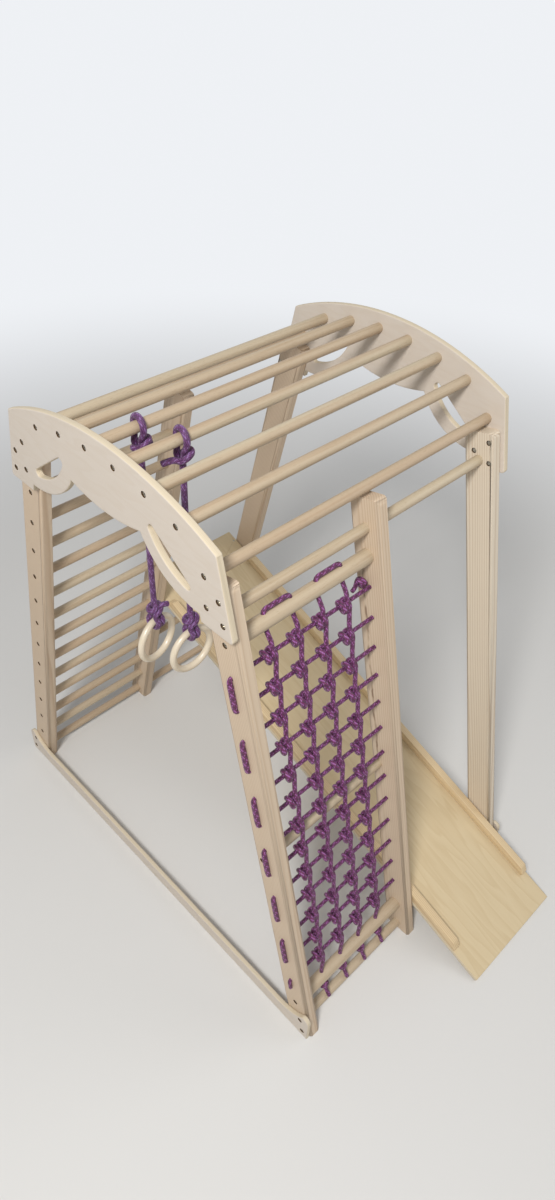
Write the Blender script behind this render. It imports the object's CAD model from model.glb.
import math
import bmesh
import bpy
from mathutils import Matrix, Vector


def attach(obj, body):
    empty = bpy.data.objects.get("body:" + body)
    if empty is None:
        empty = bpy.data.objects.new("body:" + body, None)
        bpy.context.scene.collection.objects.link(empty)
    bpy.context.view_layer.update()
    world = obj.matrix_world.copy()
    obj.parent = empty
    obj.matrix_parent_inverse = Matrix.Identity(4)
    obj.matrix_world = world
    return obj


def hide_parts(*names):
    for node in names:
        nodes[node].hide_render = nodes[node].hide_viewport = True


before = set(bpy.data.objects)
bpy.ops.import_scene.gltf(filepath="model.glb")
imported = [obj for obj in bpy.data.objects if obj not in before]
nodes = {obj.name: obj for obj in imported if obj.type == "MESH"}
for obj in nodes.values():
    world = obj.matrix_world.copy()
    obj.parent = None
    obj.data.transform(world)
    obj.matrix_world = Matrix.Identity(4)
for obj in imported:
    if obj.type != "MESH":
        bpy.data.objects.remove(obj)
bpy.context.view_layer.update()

scene = bpy.context.scene
scene.view_settings.view_transform = "Standard"

# the part's own sizes, in metres, as in its source
build = {"splay": math.radians(13.4), "footY": 0.616, "shiftY": 0.106705, "legT": 0.033, "legLen": 1.366,
         "postHalf": 0.0165, "legOut": 0.4151, "plateT": 0.015, "stretcherT": 0.012,
         "slideTilt": math.radians(21.3486), "slideRung": (0.4928 + 0.106705, 0.5170), "slideMid": 0.1993,
         "slideSeat": 0.0128, "boardT": 0.012}
sinS, cosS = math.sin(build["splay"]), math.cos(build["splay"])
mm = 0.001
xAxis = Vector((1, 0, 0))


def frontPoint(x, along, across):           # a place beside the front legs
    y = build["footY"] - sinS * along + cosS * across
    return Vector((x, build["shiftY"] - y, cosS * along + sinS * across))


def sideSpot(along, across, front):         # the same beside the front or back legs, as (y, z)
    y = build["footY"] - sinS * along + cosS * across
    return (build["shiftY"] + (-y if front else y), cosS * along + sinS * across)


view = {"place": (-1.1154, -1.02965, 2.2617), "right": (0.7166582, -0.6965229, 0.0354517),
        "down": (-0.4442018, -0.4950502, -0.7467329), "ahead": (0.5376669, 0.5194046, -0.6641786),
        "lens": 24.515, "sensor": 36.0, "farthest": 120}


def placeCamera(v):
    data = bpy.data.cameras.new("photoCamera")
    data.lens, data.sensor_width, data.clip_end = v["lens"], v["sensor"], v["farthest"]
    camera = bpy.data.objects.new("photoCamera", data)
    scene.collection.objects.link(camera)
    axes = Matrix((v["right"], [-c for c in v["down"]], [-c for c in v["ahead"]])).transposed()
    camera.matrix_world = Matrix.Translation(v["place"]) @ axes.to_4x4()
    scene.camera = camera


placeCamera(view)
print("camera placed")


class Wire:                                 # a socket that takes part in sums
    def __init__(self, finish, socket):
        self.finish, self.socket = finish, socket

    def sum(self, operation, a, b=0.0):
        return self.finish.node("ShaderNodeMath", {"operation": operation}, {0: a, 1: b})

    def __add__(self, other):
        return self.sum("ADD", self, other)

    def __sub__(self, other):
        return self.sum("SUBTRACT", self, other)

    def __rsub__(self, other):
        return self.sum("SUBTRACT", other, self)

    def __mul__(self, other):
        return self.sum("MULTIPLY", self, other)

    def __truediv__(self, other):
        return self.sum("DIVIDE", self, other)

    def __lt__(self, other):
        return self.sum("LESS_THAN", self, other)

    def __gt__(self, other):
        return self.sum("GREATER_THAN", self, other)

    def part(self):                         # what is left after the whole number
        return self.sum("FRACT", self)

    def whole(self):
        return self.sum("FLOOR", self)

    def wave(self):
        return self.sum("SINE", self)

    def size(self):
        return self.sum("ABSOLUTE", self)

    def most(self, other):
        return self.sum("MAXIMUM", self, other)

    def between(self, limits):              # from the first limit at 0 to the second at 1
        return self * (limits[1] - limits[0]) + limits[0]


class Finish:                               # one material, or the sky, and its nodes
    def __init__(self, name, fixed, sky=False):
        self.material = bpy.data.worlds.new(name) if sky else bpy.data.materials.new(name)
        self.material.use_nodes = True
        self.tree = self.material.node_tree
        self.shader = self.tree.nodes["Background" if sky else "Principled BSDF"]
        for socket, value in fixed.items():
            self.shader.inputs[socket].default_value = value

    def node(self, kind, settings=None, sockets=None, out=0):
        made = self.tree.nodes.new(kind)
        for name, value in (settings or {}).items():
            if name == "stops":             # a ramp's places and levels
                ends = made.color_ramp.elements
                while len(ends) < len(value):
                    ends.new(0.5)
                for end, (place, level) in zip(ends, value):
                    end.position = place
                    end.color = (level, level, level, 1)
            else:
                setattr(made, name, value)
        for name, value in (sockets or {}).items():
            if isinstance(value, Wire):
                self.tree.links.new(value.socket, made.inputs[name])
            else:
                made.inputs[name].default_value = value
        return Wire(self, made.outputs[out])

    def feed(self, socket, wire):
        self.tree.links.new(wire.socket, self.shader.inputs[socket])

    def split(self, wire):
        first = self.node("ShaderNodeSeparateXYZ", None, {0: wire})
        return [Wire(self, s) for s in first.socket.node.outputs]

    def blend(self, factor, a, b):
        a, b = (colour(side) if isinstance(side, str) else side for side in (a, b))
        return self.node("ShaderNodeMix", {"data_type": "RGBA"}, {0: factor, 6: a, 7: b}, 2)

    def ramp(self, wire, stops):
        return self.node("ShaderNodeValToRGB", {"stops": stops}, {0: wire})

    def moved(self, wire, move=(0, 0, 0), turn=(0, 0, 0), scale=(1, 1, 1)):
        return self.node("ShaderNodeMapping", None, {0: wire, 1: move, 2: turn, 3: scale})

    def noise(self, wire, scale, detail=2.0, roughness=0.5):
        return self.node("ShaderNodeTexNoise", None, {"Vector": wire, "Scale": scale, "Detail": detail,
                                                      "Roughness": roughness})

    def grained(self, wire, scales, detail=2.0, roughness=0.5):     # noise with a scale for each axis
        return self.noise(self.moved(wire, scale=scales), 1.0, detail, roughness)

    def length(self, wire):
        return self.node("ShaderNodeVectorMath", {"operation": "LENGTH"}, {0: wire}, "Value")

    def bump(self, height, depth):
        self.feed("Normal", self.node("ShaderNodeBump", None, {"Height": height, "Distance": depth,
                                                               "Strength": 1.0}))

    def objectSpot(self):
        return self.node("ShaderNodeTexCoord", None, None, "Object")

    def backdropSeen(self):                 # by the camera, in a gloss or through glass
        kinds = self.node("ShaderNodeLightPath").socket.node.outputs
        names = ("Is Camera Ray", "Is Glossy Ray", "Is Transmission Ray")
        straight, gloss, glass = (Wire(self, kinds[name]) for name in names)
        return straight.most(gloss).most(glass)


def colour(code):                           # a screen colour as the shader's light values
    parts = [int(code[i:i + 2], 16) / 255 for i in (0, 2, 4)]
    return (*[p / 12.92 if p <= 0.04045 else ((p + 0.055) / 1.055) ** 2.4 for p in parts], 1)


pine = {"early": "cfbca4", "late": "b08e6a", "deep": "997652", "ringWidth": 0.0052, "swayShare": 0.02,
        "taper": 0.006, "bandShare": 0.55, "bandLeast": 0.12, "fibreShare": 0.16, "swayScale": (7, 7, 0.9),
        "strengthScale": (9, 9, 0.7), "fibreScale": (620, 620, 9), "toneScale": (5, 5, 1.6),
        "ringTones": [(0.0, 0.0), (0.45, 0.16), (0.82, 1.0), (0.93, 0.72), (1.0, 0.0)], "fibreHeight": 0.6,
        "bandHeight": 0.4, "roughness": (0.58, 0.42), "specular": 0.35, "bumpDepth": 0.00012}
paleWood = {"far_front_leg": "dcd0bc", "slide_near_rail": "dbc49c", "slide_far_rail": "dbc49c"}
# a dark resin line on the middle front post, in the post's drifted grain
resin = {"node": "mid_front_post", "tone": "5c3a1c", "share": 0.8, "across": 0.018, "width": 0.0045,
         "from": 1.9 + 0.62, "to": 1.9 + 1.21, "face": -0.012, "wander": 0.03, "wanderScale": (0, 0, 9),
         "breakScale": (60, 60, 26), "breaks": [(0.35, 0.0), (0.6, 1.0)],
         "profile": [(0.0, 1.0), (0.35, 0.75), (1.0, 0.0)]}


def resinMask(fin, grain):                  # wanders along one face, broken here and there
    x, across, along = fin.split(grain)
    wander = fin.grained(grain, resin["wanderScale"], 3.0, 0.6) - 0.5
    gapFrom = (across - resin["across"] + wander * resin["wander"]).size()
    inside = fin.ramp(gapFrom / resin["width"], resin["profile"])
    ends = (along > resin["from"]) * (along < resin["to"])
    broken = fin.ramp(fin.grained(grain, resin["breakScale"]), resin["breaks"])
    return inside * ends * (x < resin["face"]) * broken * resin["share"]


def pineFinish(node, centre, turn, pith, drift):
    fin = Finish(node + "Pine", {"Specular IOR Level": pine["specular"]})
    # z is along the grain
    grain = fin.moved(fin.moved(fin.objectSpot(), [-c for c in centre]), drift, (turn, 0, 0))
    sway = fin.grained(grain, pine["swayScale"]) - 0.5
    x, across, along = fin.split(grain)
    radius = fin.length(fin.node("ShaderNodeCombineXYZ", None, {0: x - pith[0], 1: across - pith[1]}))
    rings = (radius + sway * pine["swayShare"] + along * pine["taper"]) / pine["ringWidth"]
    band = fin.ramp(rings.part(), pine["ringTones"])
    strength = fin.grained(grain, pine["strengthScale"], 1.0)
    fibre = fin.grained(grain, pine["fibreScale"], 3.0, 0.6)
    late = fin.blend(fin.grained(grain, pine["toneScale"]), pine["late"], pine["deep"])
    share = band * (strength * pine["bandShare"] + pine["bandLeast"])
    base = fin.blend(share, paleWood.get(node, pine["early"]), late)
    base = fin.blend(fibre * pine["fibreShare"], base, pine["deep"])
    if node == resin["node"]:
        base = fin.blend(resinMask(fin, grain), base, resin["tone"])
    fin.feed("Base Color", base)
    fin.feed("Roughness", band.between(pine["roughness"]))
    fin.bump(fibre * pine["fibreHeight"] + band * pine["bandHeight"], pine["bumpDepth"])
    return fin.material


dowel = {"light": "beaf95", "warm": "b6a085", "dark": "957758", "fleck": "86684a",
         "pieceScale": (0.6, 23, 23), "veinScale": (2.2, 120, 120), "fleckScale": (70, 900, 900),
         "pieceTones": [(0.32, 0.0), (0.68, 1.0)], "veinTones": [(0.38, 0.0), (0.56, 0.35), (0.66, 1.0)],
         "fleckTones": [(0.62, 0.0), (0.72, 1.0)], "veinShare": 0.3, "fleckShare": 0.28, "fleckHeight": -0.4,
         "roughness": (0.42, 0.54), "specular": 0.4, "bumpDepth": 0.00008}


def dowelFinish(name):
    fin = Finish(name, {"Specular IOR Level": dowel["specular"]})
    spot = fin.objectSpot()
    piece = fin.grained(spot, dowel["pieceScale"], 0.0)     # one tone for each rung
    tone = fin.ramp(piece, dowel["pieceTones"])
    vein = fin.grained(spot, dowel["veinScale"], 3.0, 0.55)
    veins = fin.ramp(vein, dowel["veinTones"])
    fleck = fin.ramp(fin.grained(spot, dowel["fleckScale"], 1.0), dowel["fleckTones"])
    base = fin.blend(tone, dowel["light"], dowel["warm"])
    base = fin.blend(veins * dowel["veinShare"], base, dowel["dark"])
    base = fin.blend(fleck * dowel["fleckShare"], base, dowel["fleck"])
    fin.feed("Base Color", base)
    fin.feed("Roughness", veins.between(dowel["roughness"]))
    fin.bump(vein + fleck * dowel["fleckHeight"], dowel["bumpDepth"])
    return fin.material


plywood = {"face": "cdc2b5", "grain": "bdab94", "edgePale": "d3c7b0", "edgeDark": "bfa884", "veneer": 0.0013,
           "skinShare": 0.55, "ringCount": 9.0, "fineScale": 22, "fineShare": 0.5,
           "speckScale": (500, 500, 500), "ringTones": [(0.0, 0.0), (0.5, 0.4), (0.85, 1.0), (1.0, 0.0)],
           "layerTones": [(0.0, 0.1), (0.42, 0.12), (0.5, 0.8), (0.92, 0.75), (1.0, 0.1)],
           "layerShare": 0.36, "speckShare": 0.16, "roughness": (0.5, 0.6), "specular": 0.3,
           "bumpDepth": 0.00006}


def plywoodFinish(name, sheet, tones):
    # sheet: move and turn that bring the board to its own axes, the depth's axis and the two faces' depths
    fin = Finish(name, {"Specular IOR Level": plywood["specular"]})
    local = fin.moved(fin.objectSpot(), sheet["move"], sheet["turn"])
    depth = fin.split(local)[sheet["depthAxis"]]
    low, high = sheet["faces"]
    inside = ((high - low) / 2 - (depth - (high + low) / 2).size()) / plywood["veneer"]
    flat = list(sheet["grainScale"])
    flat[sheet["depthAxis"]] = 0
    swirl = fin.grained(local, flat, 3.0)
    rings = fin.ramp((swirl * plywood["ringCount"]).part(), plywood["ringTones"])
    fine = fin.grained(local, [s * plywood["fineScale"] for s in flat], 2.0, 0.6)
    share = rings * tones["grainShare"] + fine * tones["grainShare"] * plywood["fineShare"]
    face = fin.blend(share, tones["face"], tones["grain"])
    layer = fin.ramp((inside / 2.0).part(), plywood["layerTones"])
    speck = fin.grained(local, plywood["speckScale"])
    worn = layer * plywood["layerShare"] + speck * plywood["speckShare"]
    edge = fin.blend(worn, plywood["edgePale"], plywood["edgeDark"])
    fin.feed("Base Color", fin.blend(inside > plywood["skinShare"], face, edge))
    fin.feed("Roughness", fine.between(plywood["roughness"]))
    fin.bump(fine, plywood["bumpDepth"])
    return fin.material


ringWood = {"light": "dccfb9", "warm": "cebc9c", "veinScale": (9, 260, 60),
            "veinTones": [(0.4, 0.0), (0.62, 1.0)], "veinShare": 0.3, "toneScale": 11.0, "toneShare": 0.35,
            "coat": 0.55, "coatRoughness": 0.16, "roughness": (0.36, 0.46), "bumpDepth": 0.00004}


def ringFinish(name, centre, yaw):
    fin = Finish(name, {"Coat Weight": ringWood["coat"], "Coat Roughness": ringWood["coatRoughness"]})
    local = fin.moved(fin.moved(fin.objectSpot(), [-c for c in centre]), (0, 0, 0), (0, 0, -yaw))
    vein = fin.grained(local, ringWood["veinScale"], 3.0, 0.55)
    tone = fin.noise(local, ringWood["toneScale"], 1.0)
    veins = fin.ramp(vein, ringWood["veinTones"])
    share = veins * ringWood["veinShare"] + tone * ringWood["toneShare"]
    fin.feed("Base Color", fin.blend(share, ringWood["light"], ringWood["warm"]))
    fin.feed("Roughness", veins.between(ringWood["roughness"]))
    fin.bump(vein, ringWood["bumpDepth"])
    return fin.material


netCord = {"base": "6e1450", "dark": "1d0517", "fleck": "b878c0", "plaits": 10.0, "darkShare": 0.7,
           "paleShare": 0.45, "bumpDepth": 0.0008}
ringCord = {"base": "6a2d6a", "dark": "1d0a22", "fleck": "a987c2", "plaits": 10.0, "darkShare": 0.4,
            "paleShare": 0.3, "bumpDepth": 0.0010}
braid = {"turns": 0.62, "topShare": 0.75, "underShare": 0.25, "shade": [(0.2, 0.0), (0.8, 1.0)],
         "fuzzScale": 1500.0, "fuzzPale": 0.3, "fuzzHeight": 0.22, "wornScale": 46.0, "wornShare": 0.12,
         "colours": 4.0, "roughness": (0.34, 0.59), "sheen": 0.1, "sheenRoughness": 0.4, "specular": 0.5}


def cordFinish(name, c):                    # braid on the cord's own map: u along it, v round it
    fin = Finish(name, {"Sheen Weight": braid["sheen"], "Sheen Roughness": braid["sheenRoughness"],
                        "Specular IOR Level": braid["specular"]})
    u, v = fin.split(fin.node("ShaderNodeUVMap", {"uv_map": "cordMap"}))[:2]
    left = (v + u * braid["turns"]) * c["plaits"]
    right = (v - u * braid["turns"]) * c["plaits"]
    leftTop = ((left.whole() + right.whole()) / 2.0).part() * 2.0       # which plait lies on top
    leftHill = (left.part() * math.pi).wave()
    rightHill = (right.part() * math.pi).wave()
    hill = leftHill * leftTop + rightHill * (1 - leftTop)
    under = rightHill * leftTop + leftHill * (1 - leftTop)
    height = hill * braid["topShare"] + under * braid["underShare"]
    spot = fin.objectSpot()
    fuzz = fin.noise(spot, braid["fuzzScale"])
    worn = fin.noise(spot, braid["wornScale"])

    def plaits(place):                      # every fourth plait of both ways, where it lies on top
        first, second = ((w.whole() / braid["colours"] + (1.1 - place)).part() for w in (left, right))
        return (first < 0.2) * leftTop + (second < 0.2) * (1 - leftTop)

    shade = fin.ramp(height, braid["shade"])
    base = fin.blend(shade, c["dark"], c["base"])
    base = fin.blend(plaits(0.5) * c["darkShare"], base, c["dark"])
    pale = plaits(0.0) * (hill * c["paleShare"] + fuzz * braid["fuzzPale"])
    base = fin.blend(pale + worn * shade * braid["wornShare"], base, c["fleck"])
    fin.feed("Base Color", base)
    fin.feed("Roughness", fuzz.between(braid["roughness"]))
    fin.bump(height + fuzz * braid["fuzzHeight"], c["bumpDepth"])
    return fin.material


zinc = {"light": "c4beb0", "dark": "6e675c", "patchScale": 420.0, "patchShare": 0.7, "grainScale": 2600.0,
        "roughness": (0.22, 0.42), "bumpDepth": 0.00005}


def zincFinish(name):
    fin = Finish(name, {"Metallic": 1.0})
    spot = fin.objectSpot()
    patch = fin.noise(spot, zinc["patchScale"], 3.0)
    fin.feed("Base Color", fin.blend(patch * zinc["patchShare"], zinc["light"], zinc["dark"]))
    fin.feed("Roughness", patch.between(zinc["roughness"]))
    fin.bump(fin.noise(spot, zinc["grainScale"], 1.0), zinc["bumpDepth"])
    return fin.material


drill = {"pale": "6f5537", "dark": "2c1e12", "scale": 900.0, "roughness": 0.75, "specular": 0.2,
         "bumpDepth": 0.0001}


def drillFinish(name):                      # the scorched wall of a drilled hole
    fin = Finish(name, {"Roughness": drill["roughness"], "Specular IOR Level": drill["specular"]})
    burnt = fin.noise(fin.objectSpot(), drill["scale"])
    fin.feed("Base Color", fin.blend(burnt, drill["dark"], drill["pale"]))
    fin.bump(burnt, drill["bumpDepth"])
    return fin.material


def paintHoles(piece, material, inside):    # a second finish on the faces inside the stock
    piece.data.materials.append(material)
    for face in piece.data.polygons:
        if inside(face.center):
            face.material_index = len(piece.data.materials) - 1


def paint(piece, material):
    if not piece.material_slots:
        piece.data.materials.append(material)
    for slot in piece.material_slots:
        slot.material = material


def settle(piece, body, replaced=()):
    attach(piece, body)
    if replaced:
        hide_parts(*replaced)
    return piece


def clearSelection():
    if bpy.context.object and bpy.context.object.mode != "OBJECT":
        bpy.ops.object.mode_set(mode="OBJECT")
    bpy.ops.object.select_all(action="DESELECT")


def choose(piece):
    clearSelection()
    piece.select_set(True)
    bpy.context.view_layer.objects.active = piece


edges = {"merge": 0.00001, "onPlane": 0.99, "level": 0.99998, "wall": 0.5, "smooth": math.radians(32),
         "sharp": math.radians(40), "dissolve": math.radians(0.4), "cornerLeast": 0.5}


def levelFaces(piece, axes):                # the flat sides stay flat beside rounded edges
    for face in piece.data.polygons:
        if any(abs(face.normal.dot(a)) > edges["level"] for a in axes):
            face.use_smooth = False


def mergedCopy(node):                       # a copy of a solid, its loose triangles joined
    piece = bpy.data.objects.new(node + "_eased", nodes[node].data.copy())
    scene.collection.objects.link(piece)
    choose(piece)
    bpy.ops.object.mode_set(mode="EDIT")
    bpy.ops.mesh.select_all(action="SELECT")
    bpy.ops.mesh.remove_doubles(threshold=edges["merge"])
    bpy.ops.object.mode_set(mode="OBJECT")
    return piece


def easeSide(shape, way, plane, easing, steps, spared):
    # one flat side's outline rounded over in steps, apart from the edges that spared() names
    flat = [f for f in shape.faces if f.normal.x * way > edges["onPlane"]
            and all(abs(v.co.x - plane) < edges["merge"] for v in f.verts)]
    rim = [e for f in flat for e in f.edges if any(o.normal.x * way < edges["onPlane"] for o in e.link_faces)]
    outline = [e for e in rim if not spared((e.verts[0].co + e.verts[1].co) / 2, 0)]
    kept = [e for e in rim if e not in outline]
    inward = {}
    for e in outline:
        wall = next(f for f in e.link_faces if abs(f.normal.x) < edges["wall"])
        for v in e.verts:
            inward.setdefault(v, []).append(-wall.normal)
    rows = {}
    for v, ways in inward.items():
        mid = sum(ways, Vector()).normalized()
        mid /= max(mid.dot(ways[0]), edges["cornerLeast"])
        rows[v] = [v]
        for turn in (math.pi / 2 * k / steps for k in range(1, steps + 1)):
            deep, out = easing * (1 - math.sin(turn)), easing * (1 - math.cos(turn))
            rows[v].append(shape.verts.new((plane - way * deep, v.co.y + mid.y * out, v.co.z + mid.z * out)))
    for v in rows:
        v.co.x = plane - way * easing
    bmesh.ops.delete(shape, geom=flat, context="FACES_KEEP_BOUNDARY")
    last = []
    for e in outline:
        a, b = e.verts
        for k in range(steps):
            shape.faces.new((rows[a][k], rows[b][k], rows[b][k + 1], rows[a][k + 1]))
        last.append(shape.edges.get((rows[a][-1], rows[b][-1])))
    bmesh.ops.triangle_fill(shape, use_beauty=True, edges=last + kept, normal=(way, 0, 0))


def easedBoard(node, easing, steps, spared):    # an upright board with both outlines rounded over
    piece = mergedCopy(node)
    shape = bmesh.new()
    shape.from_mesh(piece.data)
    shape.normal_update()
    for way, plane in ((-1, min(v.co.x for v in shape.verts)), (1, max(v.co.x for v in shape.verts))):
        easeSide(shape, way, plane, easing, steps, spared)
    bmesh.ops.recalc_face_normals(shape, faces=shape.faces)
    shape.to_mesh(piece.data)
    shape.free()
    choose(piece)
    bpy.ops.object.shade_smooth_by_angle(angle=edges["smooth"])
    levelFaces(piece, [xAxis])
    return piece


def easedCopy(node, easing, segments, spared):
    # a copy of the solid with its sharp edges rounded over, apart from those that spared() names
    piece = mergedCopy(node)
    bpy.ops.object.mode_set(mode="EDIT")
    bpy.ops.mesh.select_all(action="SELECT")
    bpy.ops.mesh.dissolve_limited(angle_limit=edges["dissolve"])
    bpy.ops.mesh.select_all(action="DESELECT")
    bpy.ops.object.mode_set(mode="OBJECT")
    shape = bmesh.new()
    shape.from_mesh(piece.data)
    weight = shape.edges.layers.float.new("bevel_weight_edge")
    for edge in shape.edges:
        sharp = len(edge.link_faces) == 2 and edge.calc_face_angle() > edges["sharp"]
        middle = (edge.verts[0].co + edge.verts[1].co) / 2
        edge[weight] = 1.0 if sharp and not spared(middle, edge.calc_length()) else 0.0
    shape.to_mesh(piece.data)
    shape.free()
    bevel = piece.modifiers.new("easing", "BEVEL")
    bevel.limit_method, bevel.width, bevel.segments = "WEIGHT", easing, segments
    bevel.use_clamp_overlap = False
    choose(piece)
    bpy.ops.object.modifier_apply(modifier=bevel.name)
    bpy.ops.object.shade_smooth_by_angle(angle=edges["smooth"])
    return piece


# screw holes: the top rungs' as (y, z) from the middle, the others as (along, across) the leg
holes = {"topRungs": [(0.29445, 1.34973), (0.22230, 1.41600), (0.13480, 1.43847), (0.04517, 1.44979)],
         "bolts": [(1.3185, -0.012), (1.3435, 0.028), (1.2935, 0.028)],
         "stretcher": [(0.0185, 0.0215), (0.066, 0.0215)], "reach": 0.0082}
holeSpots = [(build["shiftY"] + s * y, z) for s in (-1, 1) for y, z in holes["topRungs"]]
holeSpots += [sideSpot(a, c, f) for f in (True, False) for a, c in holes["bolts"] + holes["stretcher"]]


def nearHole(middle, length):
    return any(math.hypot(middle.y - y, middle.z - z) < holes["reach"] for y, z in holeSpots)


legOut = build["legOut"]
boards = {"plateEase": 0.0028, "stretcherEase": 0.0024, "segments": 3, "skin": 0.0003,
          "grainScale": (1, 2.2, 13), "face": plywood["face"], "grain": plywood["grain"], "grainShare": 0.16}
boardList = (("near_arch_plate", "nearPlate", -legOut - build["plateT"], -legOut, boards["plateEase"]),
             ("far_arch_plate", "farPlate", legOut, legOut + build["plateT"], boards["plateEase"]),
             ("near_stretcher", "nearStretcher", -legOut - build["stretcherT"], -legOut,
              boards["stretcherEase"]),
             ("far_stretcher", "farStretcher", legOut, legOut + build["stretcherT"], boards["stretcherEase"]))
holeFinish = drillFinish("drilledWood")
for node, key, low, high, ease in boardList:
    board = easedBoard(node, ease, boards["segments"], nearHole)
    sheet = {"move": (0, 0, 0), "turn": (0, 0, 0), "depthAxis": 0, "faces": (low, high),
             "grainScale": boards["grainScale"]}
    paint(board, plywoodFinish(key + "Plywood", sheet, boards))
    skin = boards["skin"]
    paintHoles(board, holeFinish, lambda c: low + skin < c.x < high - skin and nearHole(c, 0))
    settle(board, "frame", [node])
print("plates and stretchers")

slide = {"face": "d2bf9b", "grain": "b1956a", "grainShare": 0.22, "grainScale": (11, 1.5, 1),
         "boardEase": 0.0018, "boardSegments": 2, "segments": 3, "shortEdge": 0.004,
         "grainPlace": (0.1, 0.3), "pith": (0.03, -0.05), "drift": (0.01, 0.02)}
# node, x, how its grain drifts along, its turn and its easing
slideWood = (("slide_near_rail", 0.0313, 0.4, math.radians(90) - build["slideTilt"], 0.003),
             ("slide_far_rail", 0.3673, 1.7, math.radians(90) - build["slideTilt"], 0.003),
             ("slide_cleat", 0.1993, 2.6, 0, 0.0015))


def isShort(middle, length):
    return length < slide["shortEdge"]


def slideSheet():                           # the slide's own axes, from its rung
    turn = Matrix.Rotation(-build["slideTilt"], 3, "X")
    move = turn @ -Vector((build["slideMid"], *build["slideRung"]))
    return {"move": tuple(move), "turn": (-build["slideTilt"], 0, 0), "depthAxis": 2,
            "faces": (build["slideSeat"], build["slideSeat"] + build["boardT"]),
            "grainScale": slide["grainScale"]}


slideBoard = easedCopy("slide_board", slide["boardEase"], slide["boardSegments"], isShort)
paint(slideBoard, plywoodFinish("slidePlywood", slideSheet(), slide))
settle(slideBoard, "slide", ["slide_board"])
for node, x, seed, turn, ease in slideWood:
    piece = easedCopy(node, ease, slide["segments"], isShort)
    paint(piece, pineFinish(node, (x, *slide["grainPlace"]), turn, slide["pith"], (*slide["drift"], seed)))
    settle(piece, "slide", [node])
print("slide")

# node, x, front or back, where the tree's middle was and how the grain drifts along
legs = (("near_front_leg", -0.3986, 1, (0.02, -0.09), 0.3), ("mid_front_post", 0.0, 1, (-0.05, 0.03), 1.9),
        ("far_front_leg", 0.3986, 1, (0.04, 0.06), 3.1), ("near_back_leg", -0.3986, -1, (-0.02, 0.08), 4.4),
        ("mid_back_post", 0.0, -1, (0.05, -0.02), 5.2), ("far_back_leg", 0.3986, -1, (-0.03, -0.07), 6.8))
stock = {"skin": 0.0004, "across": 0.029, "low": 0.004, "high": 0.006}
for node, x, way, pith, seed in legs:
    foot = (x, build["shiftY"] - way * build["footY"], 0)
    finish = pineFinish(node, foot, way * build["splay"], pith, (0, 0, seed))
    leg = mergedCopy(node)
    bpy.ops.object.shade_smooth_by_angle(angle=edges["smooth"])
    levelFaces(leg, [xAxis, Vector((0, way * sinS, cosS)), Vector((0, -way * cosS, sinS))])
    paint(leg, finish)

    def inStock(c):
        away = way * (build["shiftY"] - c.y) - build["footY"]
        along, across = cosS * c.z - sinS * away, cosS * away + sinS * c.z
        deep = abs(c.x - x) < build["legT"] / 2 - stock["skin"]
        between = stock["low"] < along < build["legLen"] - stock["high"]
        return deep and abs(across) < stock["across"] and between

    paintHoles(leg, holeFinish, inStock)
    settle(leg, "frame", [node])
print("legs")

rungFinish = dowelFinish("rungDowel")
for node, piece in nodes.items():
    if "rung" in node and "screws" not in node or node.endswith("_bar"):
        paint(piece, rungFinish)
screwFinish = zincFinish("zincPlated")
for node in ("rung_screws", "post_studs", "plate_bolts", "plate_nuts", "stretcher_screws", "slide_screws"):
    paint(nodes[node], screwFinish)
print("rungs and screws")

rings = {"radius": 0.057, "thick": 0.017, "steps": 112, "sides": 28, "merge": 0.00002,
         "places": ((-0.3041, 0.106705 + 0.04517, 1.44979 - 0.574, math.radians(13)),
                    (-0.2701, 0.106705 - 0.04517, 1.44979 - 0.568, math.radians(1.5)))}


def turnedRing(name, centre, yaw):
    clearSelection()
    bpy.ops.mesh.primitive_circle_add(vertices=rings["sides"], radius=rings["thick"] / 2,
                                      location=(rings["radius"], 0, 0))
    piece = bpy.context.object
    piece.name = name
    bpy.ops.object.transform_apply(location=True)
    bpy.ops.object.mode_set(mode="EDIT")
    bpy.ops.mesh.select_all(action="SELECT")
    bpy.ops.mesh.spin(steps=rings["steps"], angle=2 * math.pi, center=(0, 0, 0), axis=(0, 1, 0))
    bpy.ops.mesh.select_all(action="SELECT")
    bpy.ops.mesh.remove_doubles(threshold=rings["merge"])
    bpy.ops.mesh.normals_make_consistent(inside=False)
    bpy.ops.object.mode_set(mode="OBJECT")
    bpy.ops.object.shade_smooth()
    piece.data.transform(Matrix.Translation(centre) @ Matrix.Rotation(yaw, 4, "Z"))
    return piece


for i, (x, y, z, yaw) in enumerate(rings["places"], 1):
    ring = turnedRing("turned_ring_%d" % i, (x, y, z), yaw)
    paint(ring, ringFinish("ringWood%d" % i, (x, y, z), yaw))
    settle(ring, "ring_%d" % i, ["ring_%d" % i])
print("rings")


def smoothRoute(points, step):              # a smooth curve through the points, in even steps
    padded = [points[0] * 2 - points[1], *points, points[-1] * 2 - points[-2]]
    fine = []
    for a, b, c, d in zip(padded, padded[1:], padded[2:], padded[3:]):
        count = max(2, math.ceil((c - b).length / step * 2))
        for i in range(count):
            t = i / count
            fine.append((b * 2 + (c - a) * t + (a * 2 - b * 5 + c * 4 - d) * t ** 2
                         + (b * 3 - a - c * 3 + d) * t ** 3) / 2)
    fine.append(points[-1].copy())
    even, need = [fine[0]], step
    for a, b in zip(fine, fine[1:]):
        span = (b - a).length
        while need <= span:
            even.append(a.lerp(b, need / span))
            need += step
        need -= span
    if (even[-1] - fine[-1]).length > step / 2:
        even.append(fine[-1])
    return even


# swell: how much a cord grows at its bulges, and how far from them
# tips: how wide and how far out its rounded ends are
tube = {"swell": 0.34, "swellReach": 0.0105, "tips": ((0.55, 0.62), (0.88, 0.3)), "tipShare": 0.6}


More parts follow.
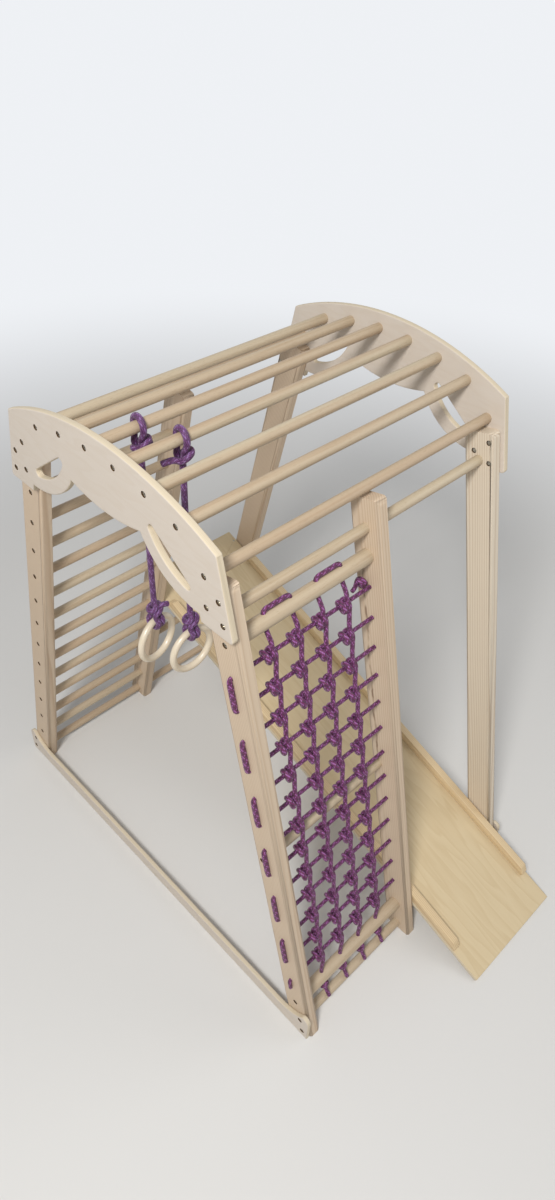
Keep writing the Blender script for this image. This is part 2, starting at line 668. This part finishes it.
def cordTube(name, route, radius, sides, bulges=()):
    # a tube round the route with rounded ends, its map running along and round it
    shape = bmesh.new()
    layer = shape.loops.layers.uv.new("cordMap")
    girth = 2 * math.pi * radius
    after, before = route[1:] + route[-1:], route[:1] + route[:-1]
    ways = [(a - b).normalized() for a, b in zip(after, before)]
    side = ways[0].orthogonal().normalized()
    stations, run = [], 0.0
    for i, (place, way) in enumerate(zip(route, ways)):
        if i:
            run += (place - route[i - 1]).length
            side = (side - way * side.dot(way)).normalized()
        nearest = min(((place - b).length for b in bulges), default=1.0)
        grow = 1.0 + tube["swell"] * math.exp(-(nearest / tube["swellReach"]) ** 2)
        stations.append((place, way, side.copy(), radius * grow, run))

    def tip(station, wide, out, sign):      # a narrower station past an end
        place, way, across, size, reached = station
        return (place + way * sign * radius * out * tube["tipShare"], way, across, size * wide,
                reached + sign * radius * out)

    head = [tip(stations[0], wide, out, -1) for wide, out in tube["tips"]]
    tail = [tip(stations[-1], wide, out, 1) for wide, out in reversed(tube["tips"])]
    stations = head + stations + tail
    loops = []
    for place, way, across, size, reached in stations:
        up = way.cross(across)
        loops.append([shape.verts.new(place + (across * math.cos(a) + up * math.sin(a)) * size)
                      for a in (2 * math.pi * k / sides for k in range(sides))])
    for i in range(len(loops) - 1):
        for k in range(sides):
            n = (k + 1) % sides
            face = shape.faces.new((loops[i][k], loops[i][n], loops[i + 1][n], loops[i + 1][k]))
            face.smooth = True
            marks = ((i, k), (i, k + 1), (i + 1, k + 1), (i + 1, k))
            for loop, (station, turn) in zip(face.loops, marks):
                loop[layer].uv = (stations[station][4] / girth, turn / sides)
    shape.faces.new(list(reversed(loops[0]))).smooth = True
    shape.faces.new(loops[-1]).smooth = True
    mesh = bpy.data.meshes.new(name)
    shape.to_mesh(mesh)
    shape.free()
    piece = bpy.data.objects.new(name, mesh)
    scene.collection.objects.link(piece)
    return piece


# rows, bars and stops are places along the leg, strands are x
net = {"radius": 0.0054, "crossRadius": 0.0049, "sides": 10, "step": 0.003, "crossStep": 0.012,
       "rows": [1.155 - 0.0793 * j for j in range(13)], "strands": [-0.3153, -0.2433, -0.1713, -0.0993],
       "bend": 0.0054, "bendTurns": [math.radians(15 * t) for t in range(7)], "startX": -0.004,
       "grooveX": 0.0059, "tail": 0.026, "stitchIn": 0.015, "stitchStep": 0.0082, "stitchCount": 7,
       "topBar": 1.2315, "underTop": 0.012, "over": 1.2551, "overOut": 0.0012,
       "overTurn": ((0.0006, -0.007, 0.0004), (0.0075, 0.0004, 0.001)), "overShares": (0.3, 0.5, 0.7),
       "bottomBar": 0.108, "underBottom": 0.016, "aboveBottom": 0.02, "stop": 0.0772, "stubLean": 0.0205,
       "foot": 0.024, "stubShort": 0.012, "lean": 0.1, "leanStep": 2.3, "leanRope": 1.7, "leanStrand": 1.1,
       "bulge": (-0.0118, -0.001, 0.0075)}


def crossRoute():                           # row by row, stitched through the near leg and the middle post
    rows, bend, turns = net["rows"], net["bend"], net["bendTurns"]

    def intoBend(face, way, row):
        return [(face + way * bend * math.sin(t), row - bend * (1 - math.cos(t))) for t in turns]

    flat = [(net["startX"], rows[0])]
    for j in range(len(rows) - 1):
        way = -1 if j % 2 == 0 else 1
        face = -legOut if way < 0 else net["grooveX"]
        flat += intoBend(face, way, rows[j])
        flat += [(face + way * bend * math.cos(t), rows[j + 1] + bend * (1 - math.sin(t))) for t in turns]
    flat += intoBend(-legOut, -1, rows[-1])
    flat += [(-legOut - bend, rows[-1] - net["tail"])]
    route = []
    for (x0, a0), (x1, a1) in zip(flat, flat[1:]):
        parts = max(1, round(math.hypot(x1 - x0, a1 - a0) / net["crossStep"]))
        route += [frontPoint(x0 + (x1 - x0) * k / parts, a0 + (a1 - a0) * k / parts, 0) for k in range(parts)]
    route.append(frontPoint(*flat[-1], 0))
    return route


# one hitch, from the strand above it to the strand below it: x, along and across, in millimetres
hitch = ((1.6, 30, 8.6), (0.9, 16, 9.4), (0.3, 3, 10.8), (-0.8, -8, 8), (-3.5, -10.5, -2.5),
         (-7.5, -4, -9.6), (-11.5, 6, -8.2), (-14.2, 11.5, 0.5), (-14, 7.5, 8.8), (-11.5, -3, 11.6),
         (-9, -12.5, 8.4), (-6.2, -14.8, -0.6), (-2, -9, -9.2), (3.5, 1.5, -10.8), (7.2, 8.4, -4.6),
         (7.8, 7.2, 4), (7, -3, 9.8), (6, -16, 9), (4.6, -30, 8.4))


def strandRoute(x, wobble):                 # down one strand, with a hitch round each row
    points = []
    for j, row in enumerate(net["rows"]):
        lean = 1.0 + net["lean"] * math.sin(wobble + j * net["leanStep"])
        points += [frontPoint(x + hx * mm * lean, row + ha * mm, hc * mm) for hx, ha, hc in hitch]
    return points


def downRope(first, wobble):                # up one strand, over the top bar and down the next
    a, b = net["strands"][first], net["strands"][first + 1]
    over, top, low = net["over"], net["topBar"] - net["underTop"], net["stop"]
    fall = low - net["foot"]
    cut = 1 - net["stubShort"] / math.hypot(net["stubLean"], fall)         # where the stub is cut off
    lead = [(net["stubLean"] * t, low - fall * t) for t in (cut, cut * 0.8, cut * 0.5, 0.2)]
    lead += [(0, net["bottomBar"] - net["underBottom"]), (0, net["bottomBar"] + net["aboveBottom"])]
    points = [frontPoint(a, along, across) for across, along in lead]
    points += list(reversed(strandRoute(a, wobble)))
    points += [frontPoint(a, top, 0)] + [frontPoint(a + x, over + up, out) for x, up, out in net["overTurn"]]
    points += [frontPoint(a + (b - a) * t, over + net["overOut"] * math.sin(math.pi * t), net["overOut"])
               for t in net["overShares"]]
    points += [frontPoint(b - x, over + up, out) for x, up, out in reversed(net["overTurn"])]
    points += [frontPoint(b, top, 0)] + strandRoute(b, wobble + net["leanStrand"])
    points += [frontPoint(b, along, across) for across, along in reversed(lead)]
    return smoothRoute(points, net["step"])


# knots wound round a cord: turns, height along it, tilt and reach as shares of the cord's radius
wrap = {"perTurn": 12, "least": 0.93, "vary": 0.07, "waves": 1.5}
stopper = {"turns": 1.7, "height": 0.010, "tilt": 0.5, "reach": 1.75, "startStep": 0.9, "thin": 0.92,
           "along": -0.001, "across": 0.001}
endKnot = {"turns": 1.6, "height": 0.012, "tilt": 0.5, "reach": 1.85, "start": 2.6, "thin": 0.95,
           "place": (-0.0145, 1.170, -0.012), "lead": ((22, 0, -10), (12, 1, -6)),
           "tail": ((-12, 4, -10), (-19, 6, -21))}


def wrapRoute(centre, axis, side, knot, start):
    across = axis.cross(side).normalized()
    points = []
    count = int(knot["turns"] * wrap["perTurn"])
    for i in range(count + 1):
        t = i / count
        angle = start + t * knot["turns"] * 2 * math.pi
        out = net["radius"] * knot["reach"] * (wrap["least"] + wrap["vary"] * math.sin(angle * wrap["waves"]))
        lift = (t - 0.5) * knot["height"] + knot["tilt"] * net["radius"] * math.cos(angle)
        points.append(centre + (side * math.cos(angle) + across * math.sin(angle)) * out + axis * lift)
    return points


netFinish = cordFinish("netCord", netCord)


def netPiece(piece, replaced=()):
    paint(piece, netFinish)
    settle(piece, "frame", replaced)


stitches = [frontPoint(-legOut - net["bend"], row - net["stitchIn"] - net["stitchStep"] * k, 0)
            for row in net["rows"][:-1:2] for k in range(net["stitchCount"])]
crossRope = cordTube("net_cross_cord", crossRoute(), net["crossRadius"], net["sides"], stitches)
netPiece(crossRope, ["net_cross_rope"])
legAxis = frontPoint(0, 1, 0) - frontPoint(0, 0, 0)
for i, first in enumerate((0, 2), 1):
    aside, below, out = net["bulge"]
    bulges = [frontPoint(x + aside, row + below, out)
              for x in net["strands"][first:first + 2] for row in net["rows"]]
    route = downRope(first, i * net["leanRope"])
    rope = cordTube("net_down_cord_%d" % i, route, net["radius"], net["sides"], bulges)
    netPiece(rope, ["net_down_rope_%d" % i])
for i, x in enumerate(net["strands"], 1):
    centre = frontPoint(x, net["stop"] + stopper["along"], stopper["across"])
    route = smoothRoute(wrapRoute(centre, legAxis, xAxis, stopper, i * stopper["startStep"]), net["step"])
    netPiece(cordTube("net_stopper_%d" % i, route, net["radius"] * stopper["thin"], net["sides"]))
aside, along, across = endKnot["place"]
centre = frontPoint(aside - build["postHalf"], along, across)
points = [centre + Vector(p) * mm for p in endKnot["lead"]]
points += wrapRoute(centre, -xAxis, legAxis, endKnot, endKnot["start"])
points += [centre + Vector(p) * mm for p in endKnot["tail"]]
route = smoothRoute(points, net["step"])
netPiece(cordTube("net_end_knot", route, net["radius"] * endKnot["thin"], net["sides"]))
print("net")

hang = {"radius": 0.007, "knotThin": 0.985, "knotDown": 0.039, "ringKnotUp": 0.035, "intoKnot": 0.012,
        "drops": (0.574, 0.568), "sides": 14, "step": 0.0035, "parts": 30}
# the upper knot runs from the hanging cord up, over the rung and round itself, and the ring's knot from the
# cord down, twice round the ring and up again: x along the rung, y to the back and z up, in millimetres from
# the rung's middle or the ring's top
upperKnot = ((0, 0, -66), (0, -0.5, -56), (0.3, -2.5, -45), (0, -4, -35), (-0.8, -7.5, -27),
             (-1.8, -13.4, -18), (-2.5, -18.2, -8.5), (-2.8, -19.7, 2), (-2, -15.4, 12.6), (-0.8, -7, 18.7),
             (0.4, 2.5, 19.9), (1.6, 12, 16), (2.5, 18.5, 7), (2.4, 19.6, -4), (0.5, 16.5, -16),
             (-3.5, 12.5, -28), (-6, 10.2, -38), (1, 11.6, -43.5), (9.5, 10.5, -40), (14.8, 4, -33),
             (14.6, -8, -27.5), (7, -18.6, -28.5), (-4.5, -19, -35), (-13, -10, -42), (-14.5, 1.5, -45))
upperEnds = (((-9, 10.5, -49.5), (3, 13.5, -52), (17, 10, -51), (31, 5, -48)),
             ((-19.5, 9, -46.5), (-28, 14, -49), (-37, 18, -51.5)))
ringKnot = ((0, 0, 66), (0.5, -1.5, 57), (-3, -8, 48), (-11.5, -7, 41), (-13.5, 3, 37.5), (-5, 12.5, 36.5),
            (7, 11.5, 40), (14, 2.5, 43), (11.5, -9, 42), (2, -14.5, 36), (-8, -12, 29.5), (-9.5, -11, 19),
            (-6.8, -15.6, 6), (-6.6, -15.2, -5), (-6.4, -7, -14.5), (-6, 6, -14.6), (-5.4, 14.5, -6),
            (-3, 15.2, 6), (1.5, 8, 16.5), (5.4, -4, 18.6), (7, -14.4, 8), (7, -15.4, -4),
            (6.8, -7.5, -14.2), (6.4, 5.5, -14.8), (6, 14.4, -6.4), (5, 14, 8), (4, 8, 20), (3, 3, 30))
ringTail = ((3, -2, 41), (11, -8, 45), (20, -11, 46), (29, -14, 44))


def ringRope(i, x, y, z, drop, yaw):
    body = "ring_rope_%d" % i
    rung = Vector((x, y, z + drop))
    ringTop = Vector((x, y, z + rings["radius"]))
    exitPoint = rung - Vector((0, 0, hang["knotDown"] + hang["intoKnot"]))
    endPoint = ringTop + Vector((0, 0, hang["ringKnotUp"] + hang["intoKnot"]))
    line = [exitPoint.lerp(endPoint, k / hang["parts"]) for k in range(hang["parts"] + 1)]
    cord = cordTube("ring_cord_%d" % i, line, hang["radius"], hang["sides"])
    turn = Matrix.Rotation(yaw, 3, "Z")
    routes = {"upper_knot": [rung + Vector(p) * mm for p in upperKnot + upperEnds[i - 1]],
              "ring_knot": [ringTop + turn @ Vector(p) * mm for p in ringKnot]}
    if i == 1:                              # the photo shows a loose end over this ring only
        routes["tail"] = [ringTop + Vector(p) * mm for p in ringTail]
    extra = [cordTube("ring_cord_%d_%s" % (i, label), smoothRoute(route, hang["step"]),
                      hang["radius"] * hang["knotThin"], hang["sides"]) for label, route in routes.items()]
    for piece in [cord, *extra]:
        paint(piece, ringCordFinish)
        settle(piece, body)
    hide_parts(body)


ringCordFinish = cordFinish("ringCord", ringCord)
for i, (x, y, z, yaw) in enumerate(rings["places"], 1):
    ringRope(i, x, y, z, hang["drops"][i - 1], yaw)
print("ring ropes")

studio = {"floor": "d9d7d3", "floorShade": "cfccc6", "shadeScale": 3.0, "shadeShare": 0.08,
          "floorRoughness": 0.8, "floorSpecular": 0.2, "floorSides": 96, "floorRadius": 45,
          "floorDrop": 0.0006, "fade": (1.5, 4.5), "wall": (0.86, 0.88, 0.91, 1), "sky": 0.45,
          "skySeen": 0.95, "aim": (0, 0.05, 0.6),
          "lamps": (("keyLamp", (-2.45, -1.3, 3.9), 0.9, 136.0), ("fillLamp", (2.2, -2.0, 2.9), 2.6, 23.0))}


def floorAndLight(s):
    clearSelection()
    bpy.ops.mesh.primitive_circle_add(vertices=s["floorSides"], radius=s["floorRadius"], fill_type="NGON",
                                      location=(0, 0, -s["floorDrop"]))
    floor = bpy.context.object
    floor.name = "studio_floor"
    fin = Finish("studioFloor", {"Roughness": s["floorRoughness"], "Specular IOR Level": s["floorSpecular"]})
    soft = fin.noise(fin.objectSpot(), s["shadeScale"])
    fin.feed("Base Color", fin.blend(soft * s["shadeShare"], s["floor"], s["floorShade"]))
    # far from the object the camera sees the pale backdrop's colour instead of the lamps' falling light
    reach = {0: fin.length(fin.objectSpot()), 1: s["fade"][0], 2: s["fade"][1]}
    away = fin.node("ShaderNodeMapRange", {"interpolation_type": "SMOOTHSTEP"}, reach)
    pale = fin.node("ShaderNodeEmission", None, {"Color": s["wall"]})
    ground = Wire(fin, fin.shader.outputs[0])
    mixed = fin.node("ShaderNodeMixShader", None, {0: away * fin.backdropSeen(), 1: ground, 2: pale})
    fin.tree.links.new(mixed.socket, fin.tree.nodes["Material Output"].inputs["Surface"])
    paint(floor, fin.material)
    for name, place, width, power in s["lamps"]:
        data = bpy.data.lights.new(name, "AREA")
        data.shape, data.size, data.energy = "DISK", width, power
        lamp = bpy.data.objects.new(name, data)
        scene.collection.objects.link(lamp)
        lamp.location = place
        lamp.rotation_euler = (Vector(s["aim"]) - Vector(place)).to_track_quat("-Z", "Y").to_euler()
    sky = Finish("studioSky", {"Color": s["wall"]}, True)
    sky.feed("Strength", sky.backdropSeen().between((s["sky"], s["skySeen"])))
    scene.world = sky.material


floorAndLight(studio)
print("floor and light")
